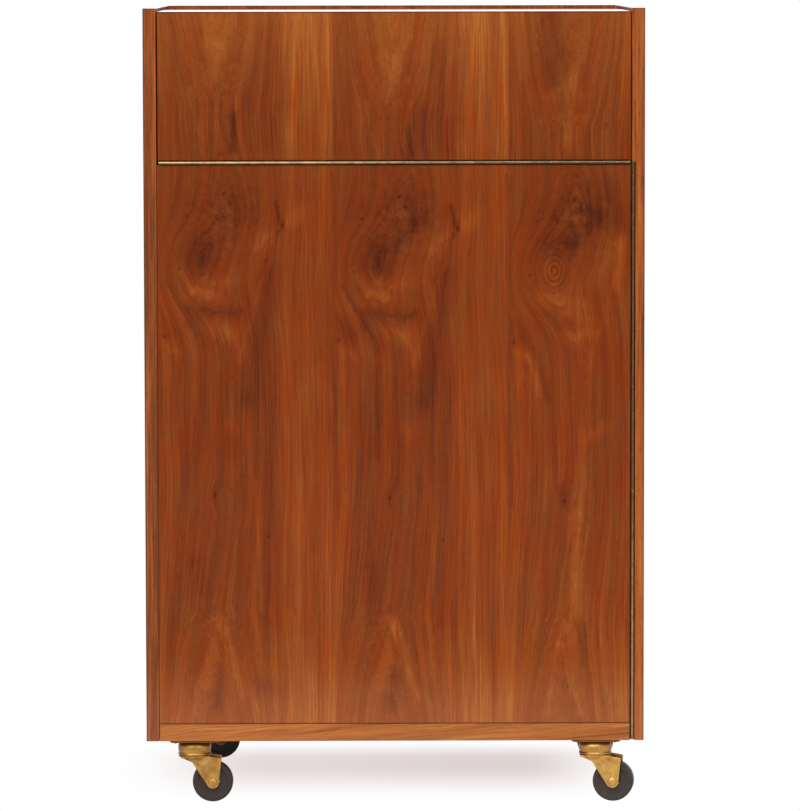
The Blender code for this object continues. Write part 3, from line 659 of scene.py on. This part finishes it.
def plate(outline, thickness, rim, steps=5):
    """Flat plate about Z = 0 with a round rim.

    Rings shrink from the outline to the middle of each face. Between the faces they go round a half circle
    whose radius is the rim, set in from the outline along its normals.
    """
    middle = outline.mean(0)
    tangent = np.roll(outline, -1, 0) - np.roll(outline, 1, 0)
    tangent /= np.maximum(np.linalg.norm(tangent, axis=1, keepdims=True), 1e-12)
    outward = np.stack((tangent[:, 1], -tangent[:, 0]), -1)
    outward *= np.sign(((outline - middle) * outward).sum())
    turn = np.radians(np.linspace(90.0, -90.0, 2 * steps))
    shrink = np.concatenate((np.linspace(0.0, 0.92, 6), np.ones(2 * steps), np.linspace(0.92, 0.0, 6)))
    inset = np.concatenate((np.full(6, rim), rim * (1 - np.cos(turn)), np.full(6, rim)))
    height = np.concatenate((np.ones(6), np.sin(turn), -np.ones(6))) * rim
    height += np.sign(height) * (thickness / 2 - rim)
    ring = outline[None] - outward[None] * inset[:, None, None]
    ring = middle + (ring - middle) * shrink[:, None, None]
    points = np.concatenate((ring, np.broadcast_to(height[:, None, None], (*ring.shape[:2], 1))), -1)
    return points.reshape(-1, 3), grid_faces(len(shrink), len(outline))


def screw_head(radius, dome, slot):
    """Slotted screw head facing Z.

    A square grid is bent into a disc. Its height is a dome, dropped to the slot's floor between its sides.
    """
    v = np.concatenate((
        np.linspace(-1, -0.17, 6), (-0.15,), np.linspace(-0.14, 0.14, 3), (0.15,), np.linspace(0.17, 1, 6),
    ))
    u, v = np.meshgrid(np.linspace(-1, 1, 13), v)
    x, y = u * np.sqrt(1 - v**2 / 2), v * np.sqrt(1 - u**2 / 2)
    height = dome * (1 - x**2 - y**2) - slot * (np.abs(v) < 0.145) * (np.abs(x) < 0.96)
    points = np.stack((x * radius, y * radius, height), -1)
    return points.reshape(-1, 3), grid_faces(*u.shape, False, False)


def moved(shell, turn, place):
    """Shell turned by a matrix whose columns are its new axes, or not at all, then moved."""
    points, faces = shell
    turn = np.eye(3) if turn is None else np.array(turn, float)
    return points @ turn.T + np.array(place), faces


def piece(name, shells, finish, body, stands_for=()):
    """Named mesh of one or more shells that rides on a body and stands for CAD nodes.

    Shells are joined as arrays, their seams and poles are welded and their faces turned outwards.
    """
    starts = np.cumsum([0] + [len(points) for points, _ in shells])
    points = np.concatenate([points for points, _ in shells])
    faces = np.concatenate([faces + start for start, (_, faces) in zip(starts, shells)])
    mesh = bpy.data.meshes.new(name)
    mesh.from_pydata(points.tolist(), [], faces.tolist())
    shape = bmesh.new()
    shape.from_mesh(mesh)
    bmesh.ops.remove_doubles(shape, verts=shape.verts, dist=WELD)
    bmesh.ops.recalc_face_normals(shape, faces=shape.faces)
    shape.to_mesh(mesh)
    shape.free()
    mesh.shade_smooth()
    mesh.set_sharp_from_angle(angle=math.radians(SHARP))
    mesh.materials.append(finish)
    made = bpy.data.objects.new(name, mesh)
    bpy.context.scene.collection.objects.link(made)
    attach(made, body)
    if stands_for:
        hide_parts(*stands_for)


def middle_of(node):
    """Middle of a CAD node's box, and its size."""
    low, high = (np.array(corner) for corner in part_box(node))
    return (low + high) / 2, high - low


def hinge_leaf(name, along, out, moving, finish):
    """Leaf of a piano hinge: a strip on its board's edge, and an eased barrel at every second knuckle.

    The strip is an eased rectangle carried along the pin, each barrel is an outline turned about the pin, and
    a lug carried along the knuckle joins the two.
    """
    hinge = name.rsplit("_", 2)[0]
    middle, size = middle_of(f"{hinge}_pin")
    length = size[np.argmax(np.abs(along))]
    pitch = length / (2 * round(length / KNUCKLE_PAIR))
    back = np.array((0.0, 1.0, 0.0))
    turn = np.stack((back, out, np.cross(back, out)), 1)
    direction = np.sign(np.cross(back, out) @ along)
    strip = eased((
        (STRIP_NEAR, STRIP_IN, 0.0001), (STRIP_FAR, STRIP_IN, 0.0003),
        (STRIP_FAR, STRIP_OUT, 0.0003), (STRIP_NEAR, STRIP_OUT, 0.0001),
    ))
    lug = eased((
        (0.0004, 0.0002, 0.0), (0.0029, 0.00105, 0.0), (0.0029, 0.00198, 0.0), (0.0004, 0.00095, 0.0),
    ), 2)
    shells = [moved(carried(strip, -length / 2, length / 2), turn, middle)]
    half = pitch / 2 - KNUCKLE_PLAY
    barrel = ((0.0, half), (BARREL_RADIUS - BARREL_EASE, half), (BARREL_RADIUS, half - BARREL_EASE))
    barrel += tuple((radius, -height) for radius, height in reversed(barrel))
    for knuckle in range(int(moving), round(length / pitch), 2):
        place = (knuckle + 0.5) * pitch - length / 2
        shells.append(moved(turned(barrel, 28), turn, middle + place * along))
        offset = place * direction
        shells.append(moved(carried(lug, offset - half, offset + half), turn, middle))
    body = hinge.split("_")[0] if moving else "carcass"
    piece(name + "_rolled", shells, finish, body, (name,))
    count = round(length / HINGE_SCREW_STEP)
    places = (np.arange(count) + 0.5) / count * length - length / 2
    face = np.stack((along, np.cross(-out, along), -out), 1)
    screws = middle + back * HINGE_SCREW_DEPTH + out * STRIP_IN
    heads = [moved(screw_head(*HINGE_SCREW), face, screws + place * along) for place in places]
    piece(name + "_screws", heads, finish, body)


def dress_hinges(flap_brass, olive_brass, door_brass):
    """Both piano hinges, leaf by leaf."""
    x, z = np.array((1.0, 0.0, 0.0)), np.array((0.0, 0.0, 1.0))
    hinge_leaf("flap_hinge_moving_leaf", x, z, True, flap_brass)
    hinge_leaf("flap_hinge_fixed_leaf", x, -z, False, olive_brass)
    hinge_leaf("door_hinge_moving_leaf", z, x, True, door_brass)
    hinge_leaf("door_hinge_fixed_leaf", z, -x, False, door_brass)


def cup_shell(top, bottom, radius):
    """Race cup: a rounded shoulder, a slightly tapered wall, a pressed groove and a rolled lip, turned."""
    wall = radius * 0.965
    outline = eased((
        (0.004, top, 0.0), (radius - 0.0028, top, 0.0016), (radius, top - 0.0036, 0.0026),
        (wall, bottom + 0.0034, 0.0006), (wall - 0.0005, bottom + 0.0024, 0.0006),
        (wall + 0.0003, bottom + 0.0014, 0.0007), (wall + 0.0003, bottom, 0.0007),
        (wall - 0.0025, bottom, 0.0004), (wall - 0.0025, top - 0.002, 0.0005), (0.004, top - 0.002, 0.0),
    ))
    return turned(outline, 64, True)


def fork_shells(trail, axle_height, crown_top, crown_bottom):
    """Fork: a round crown and two legs that are flat below and flare out to the crown's edge above.

    A leg is a plate with a round rim. Its height above a level, from 0 to 1 and squared, moves it outwards
    from its own plane to the crown's circle.
    """
    crown = eased((
        (0.0, crown_top, 0.0), (CROWN_RADIUS, crown_top, 0.0008), (CROWN_RADIUS, crown_bottom, 0.0009),
        (0.0, crown_bottom, 0.0),
    ))
    angle = np.radians(np.linspace(-146.0, 2.0, 24))
    tip = np.stack((trail + LEG_TIP * np.cos(angle), axle_height + LEG_TIP * np.sin(angle)), -1)
    # The last two corners only give directions, and the tip's arc takes their place
    bends = eased((
        (0.0267, axle_height + 0.0238, 0.0012), (0.0132, crown_top - 0.0006, 0.003),
        (-0.0138, crown_top - 0.0006, 0.0008), (-0.0136, crown_bottom - 0.0004, 0.0012),
        (-0.0036, crown_bottom - 0.0022, 0.0035), (*tip[0], 0.0), (*tip[-1], 0.0),
    ), LEG_STEPS)
    outline = np.concatenate((bends[:-2 * LEG_STEPS], tip))
    # The same outline in even steps
    step = np.linalg.norm(np.diff(outline, axis=0, append=outline[:1]), axis=1)
    at = np.concatenate(((0.0,), np.cumsum(step)))
    even = np.linspace(0.0, at[-1], 120, endpoint=False)
    loop = np.concatenate((outline, outline[:1]))
    outline = np.stack((np.interp(even, at, loop[:, 0]), np.interp(even, at, loop[:, 1])), -1)
    points, faces = plate(outline, LEG_THICK, LEG_RIM)
    x, z, depth = points.T
    rise = np.clip((z - crown_bottom + FLARE_BELOW) / FLARE_TALL, 0.0, 1.0) ** 2
    reach = np.sqrt(np.maximum(LEG_REACH**2 - x**2, 0.0))
    flare = np.maximum(reach - LEG_PLACE - LEG_THICK / 2, 0.0) * rise
    legs = [(np.stack((x, side * (LEG_PLACE + flare + depth), z), -1), faces) for side in (-1.0, 1.0)]
    return [turned(crown, 64), *legs]


def wheel_shell(radius, width):
    """Rubber wheel along Z: a slightly crowned tread, round shoulders, a moulded groove and a dished face."""
    half = width / 2
    face = (
        (0.0068, half - 0.0012, 0.0), (0.0135, half - 0.0012, 0.0008), (0.0148, half - 0.0003, 0.0008),
        (0.0168, half, 0.0006), (0.0172, half - 0.0004, 0.0003), (0.0176, half, 0.0003),
        (radius - 0.0003, half - 0.0001, 0.0019), (radius, half - 0.0045, 0.002),
    )
    back = tuple((out, -height, reach) for out, height, reach in reversed(face))
    return turned(eased(face + back), 96, True)


def rivet_shell(length, radius, dome):
    """Axle along Z with a domed head at each end: an arc for the dome, then straight sides, turned."""
    angle = np.radians(np.linspace(90.0, 0.0, 8))
    neck = length / 2 - dome
    head = np.stack((radius * np.cos(angle), neck + dome * np.sin(angle)), -1)
    shank = np.array(((radius, neck - 0.0001), (0.003, neck - 0.0002)))
    upper = np.concatenate((head, shank))
    return turned(np.concatenate((upper, upper[::-1] * (1, -1))), 40)


def dress_caster(corner, brass, shaded_plate_brass):
    """One caster: plate, cup, fork, axle and wheel, in the places and the direction of their CAD nodes."""
    name = f"caster_{corner}"
    plate_middle, plate_size = middle_of(f"{name}_plate")
    cup_middle, cup_size = middle_of(f"{name}_cup")
    hub, _ = middle_of(f"{name}_wheel")
    cup_top, cup_bottom = cup_middle[Z] + cup_size[Z] / 2, cup_middle[Z] - cup_size[Z] / 2
    crown_top = cup_bottom - FORK_GAP
    heading = hub - cup_middle
    heading[Z] = 0.0
    trail = np.linalg.norm(heading)
    ahead = heading / trail
    up = np.array((0.0, 0.0, 1.0))
    beside = np.cross(up, ahead)
    home = cup_middle * (1, 1, 0)
    half = plate_size / 2
    sides = ((-1, -1), (1, -1), (1, 1), (-1, 1))
    outline = eased([(x_side * half[X], y_side * half[Y], PLATE_CORNER) for x_side, y_side in sides], 9)
    pressed = moved(plate(outline, plate_size[Z], PLATE_RIM), None, plate_middle)
    piece(f"{name}_pressed_plate", [pressed], shaded_plate_brass, "carcass", (f"{name}_plate",))
    down = np.array(((1.0, 0.0, 0.0), (0.0, -1.0, 0.0), (0.0, 0.0, -1.0)))
    places = [(x * PLATE_SCREW_X, y * PLATE_SCREW_Y, -half[Z]) for x in (-1, 1) for y in (-1, 1)]
    heads = [moved(screw_head(*PLATE_SCREW), down, plate_middle + place) for place in places]
    piece(f"{name}_plate_screws", heads, shaded_plate_brass, "carcass")
    cup = moved(cup_shell(cup_top, cup_bottom, cup_size[X] / 2), None, home)
    piece(f"{name}_race_cup", [cup], brass, "carcass", (f"{name}_cup",))
    turn = np.stack((ahead, beside, up), 1)
    fork = fork_shells(trail, hub[Z], crown_top, crown_top - CROWN_THICK)
    shells = [moved(shell, turn, home) for shell in fork]
    piece(f"{name}_stamped_fork", shells, brass, f"{corner}_fork", (f"{name}_fork",))
    across = np.stack((ahead, up, -beside), 1)
    axle = moved(rivet_shell(AXLE_LENGTH, AXLE_HEAD, AXLE_DOME), across, hub)
    piece(f"{name}_riveted_axle", [axle], brass, f"{corner}_fork", (f"{name}_axle",))
    wheel = moved(wheel_shell(WHEEL_RADIUS, WHEEL_WIDTH), across, hub)
    rubber = scuffed_rubber(f"rubber_{corner}", hub / MM)
    piece(f"{name}_moulded_wheel", [wheel], rubber, f"{corner}_wheel", (f"{name}_wheel",))


def dress_nodes(finishes):
    """Finish of every CAD node, by the first words in the list that its name holds."""
    for node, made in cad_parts.items():
        chosen = next(finish for words, finish in finishes if words in node)
        for slot in made.material_slots:
            slot.material = chosen


def seen_directly(tree):
    """1 for rays from the camera and those seen in gloss or glass, else 0."""
    path = tree.nodes.new("ShaderNodeLightPath")
    camera, gloss, through = (Wire(path.outputs[name]) for name in (
        "Is Camera Ray", "Is Glossy Ray", "Is Transmission Ray",
    ))
    return camera.above(gloss).above(through)


def lay_floor():
    """White floor with a soft shadow: plain white to the camera, partly a lit surface under the cabinet."""
    mesh = bpy.data.meshes.new("floor")
    mesh.from_pydata([(-30, -8, 0), (30, -8, 0), (30, 40, 0), (-30, 40, 0)], [], [(0, 1, 2, 3)])
    floor = bpy.data.objects.new("floor", mesh)
    bpy.context.scene.collection.objects.link(floor)
    made = bpy.data.materials.new("studio_floor")
    made.use_nodes = True
    tree = made.node_tree
    shader = tree.nodes["Principled BSDF"]
    # The floor's pinkish colour tints its shadow: a painted warmth of light bounced from the wood
    feed(shader, {"Base Color": (0.9, 0.79, 0.77, 1.0), "Roughness": 0.8, "Specular IOR Level": 0.1})
    seen = seen_directly(tree)
    here = Wire(tree.nodes.new("ShaderNodeTexCoord").outputs["Object"])
    x, y = (here.node("SeparateXYZ", None, {0: here}, axis) for axis in range(2))
    # Between the casters the white glow gives way to the lit floor, whose shadow shows there, and turns pink:
    # a painted tint of light bounced from the wood
    between = x.rise(-0.30, -0.12) * (1.0 - x.rise(0.13, 0.25)) * (x.rise(-0.1, 0.1) * 0.15 + 0.9)
    clear = 1.0 - between * y.rise(-0.15, 0.09) * (1.0 - y.rise(0.13, 0.25))
    glow = clear.blend((1.0, 0.92, 0.91, 1.0), (1.0, 1.0, 1.0, 1.0))
    glow = seen.node("Emission", None, {"Color": glow, "Strength": 1.0})
    both = seen.node("MixShader", None, {0: (clear * 0.3 + 0.7) * seen, 1: Wire(shader.outputs[0]), 2: glow})
    tree.links.new(both.socket, tree.nodes["Material Output"].inputs["Surface"])
    mesh.materials.append(made)


def pose(right, up, forward, place):
    """World matrix of a camera or lamp that looks forward."""
    columns = np.stack((right, up, -np.array(forward), place), 1)
    return Matrix(np.concatenate((columns, ((0.0, 0.0, 0.0, 1.0),))).tolist())


def light_studio():
    """White surroundings, a broad soft light above the front, one from the left and a faint low one."""
    world = bpy.data.worlds.new("studio")
    world.use_nodes = True
    tree = world.node_tree
    background = tree.nodes["Background"]
    background.inputs["Color"].default_value = (1.0, 1.0, 1.0, 1.0)
    strength = seen_directly(tree) * 0.66 + 0.34
    tree.links.new(strength.socket, background.inputs["Strength"])
    bpy.context.scene.world = world
    for name, place, aim, (wide, tall), power in (
        ("overhead", (0.0, -0.85, 1.9), (0.0, -0.35, 0.0), (1.3, 1.3), 23.0),
        ("key", (-1.7, -2.6, 1.7), (0.0, 0.0, 0.4), (1.6, 1.6), 13.0),
        ("low", (0.0, -0.56, 0.22), (0.0, -0.16, 0.1), (0.9, 0.16), 0.5),
    ):
        data = bpy.data.lights.new(name, "AREA")
        data.shape = "RECTANGLE"
        data.size, data.size_y = wide, tall
        data.energy = power
        lamp = bpy.data.objects.new(name, data)
        bpy.context.scene.collection.objects.link(lamp)
        lamp.visible_camera = False
        direction = np.array(aim) - np.array(place)
        direction /= np.linalg.norm(direction)
        side = np.cross(direction, (0.0, 0.0, 1.0))
        side /= np.linalg.norm(side)
        lamp.matrix_world = pose(side, np.cross(side, direction), direction, place)


def set_camera():
    """Camera of the photograph: its place, direction, roll and focal length."""
    pitch, yaw, roll = np.radians((CAMERA_PITCH, CAMERA_YAW, CAMERA_ROLL))
    forward = np.array((np.sin(yaw) * np.cos(pitch), np.cos(yaw) * np.cos(pitch), -np.sin(pitch)))
    level = np.array((np.cos(yaw), -np.sin(yaw), 0.0))
    rise = np.cross(level, forward)
    right = level * np.cos(roll) + rise * np.sin(roll)
    up = rise * np.cos(roll) - level * np.sin(roll)
    data = bpy.data.cameras.new("camera")
    data.sensor_fit = "HORIZONTAL"
    data.sensor_width = SENSOR_WIDTH
    data.lens = SENSOR_WIDTH * FOCAL_PIXELS / PHOTO_WIDTH
    camera = bpy.data.objects.new("camera", data)
    bpy.context.scene.collection.objects.link(camera)
    camera.matrix_world = pose(right, up, forward, CAMERA_PLACE)
    bpy.context.scene.camera = camera


def dress_cabinet():
    """All finishes and finer pieces."""
    flap, door, caster = (ALONG_FLAP, HINGE_DEEP), (UP_DOOR, HINGE_DEEP), (ALONG_CASTERS, CASTER_DEEP)
    flap_brass = dulled_brass("flap_hinge_brass", (172, 142, 108), (104, 80, 56), 0.34, 0.3, *flap)
    olive_brass = dulled_brass("olive_hinge_brass", (158, 136, 94), (98, 80, 52), 0.34, 0.3, *flap)
    door_brass = dulled_brass("door_hinge_brass", (166, 134, 98), (94, 74, 50), 0.34, 0.3, *door)
    caster_brass = dulled_brass("caster_brass", (218, 168, 92), (142, 96, 47), 0.28, 0.12, *caster)
    # Darker brass for the plates and their screws: painted shade under the cabinet
    shaded_plate_brass = dulled_brass("shaded_plate_brass", (146, 103, 58), (98, 67, 38), 0.4, 0.3, *caster)
    steel = plain_steel("plain_steel")
    plastic = moulded_plastic("moulded_plastic")
    front = figured_front("figured_walnut")
    dress_nodes((
        ("front_panel", front),
        ("drop_flap", front),
        ("left_side_panel", walnut_board("left_side_walnut", Z, X, 31.0, -0.28, SIDE_FRONT)),
        ("side_door", walnut_board("door_walnut", Z, X, 77.0, 0.04, SIDE_FRONT)),
        ("back_panel", walnut_board("back_walnut", Z, Y, 53.0, 0.05, BACK_FRONT)),
        ("top_panel", walnut_board("top_walnut", X, Z, 12.0)),
        ("shelf_pin", steel),
        ("shelf", walnut_board("shelf_walnut", X, Z, 95.0)),
        ("bottom_board", pale_rail("pale_rail")),
        ("latch", plastic),
        ("leaf", flap_brass),
        ("pin", steel),
        ("bushing", steel),
        ("strike", steel),
        ("wheel", plastic),
        ("caster", caster_brass),
    ))
    dress_hinges(flap_brass, olive_brass, door_brass)
    for corner in CORNERS:
        dress_caster(corner, caster_brass, shaded_plate_brass)


bpy.context.scene.view_settings.view_transform = "Standard"
set_camera()
light_studio()
lay_floor()
dress_cabinet()
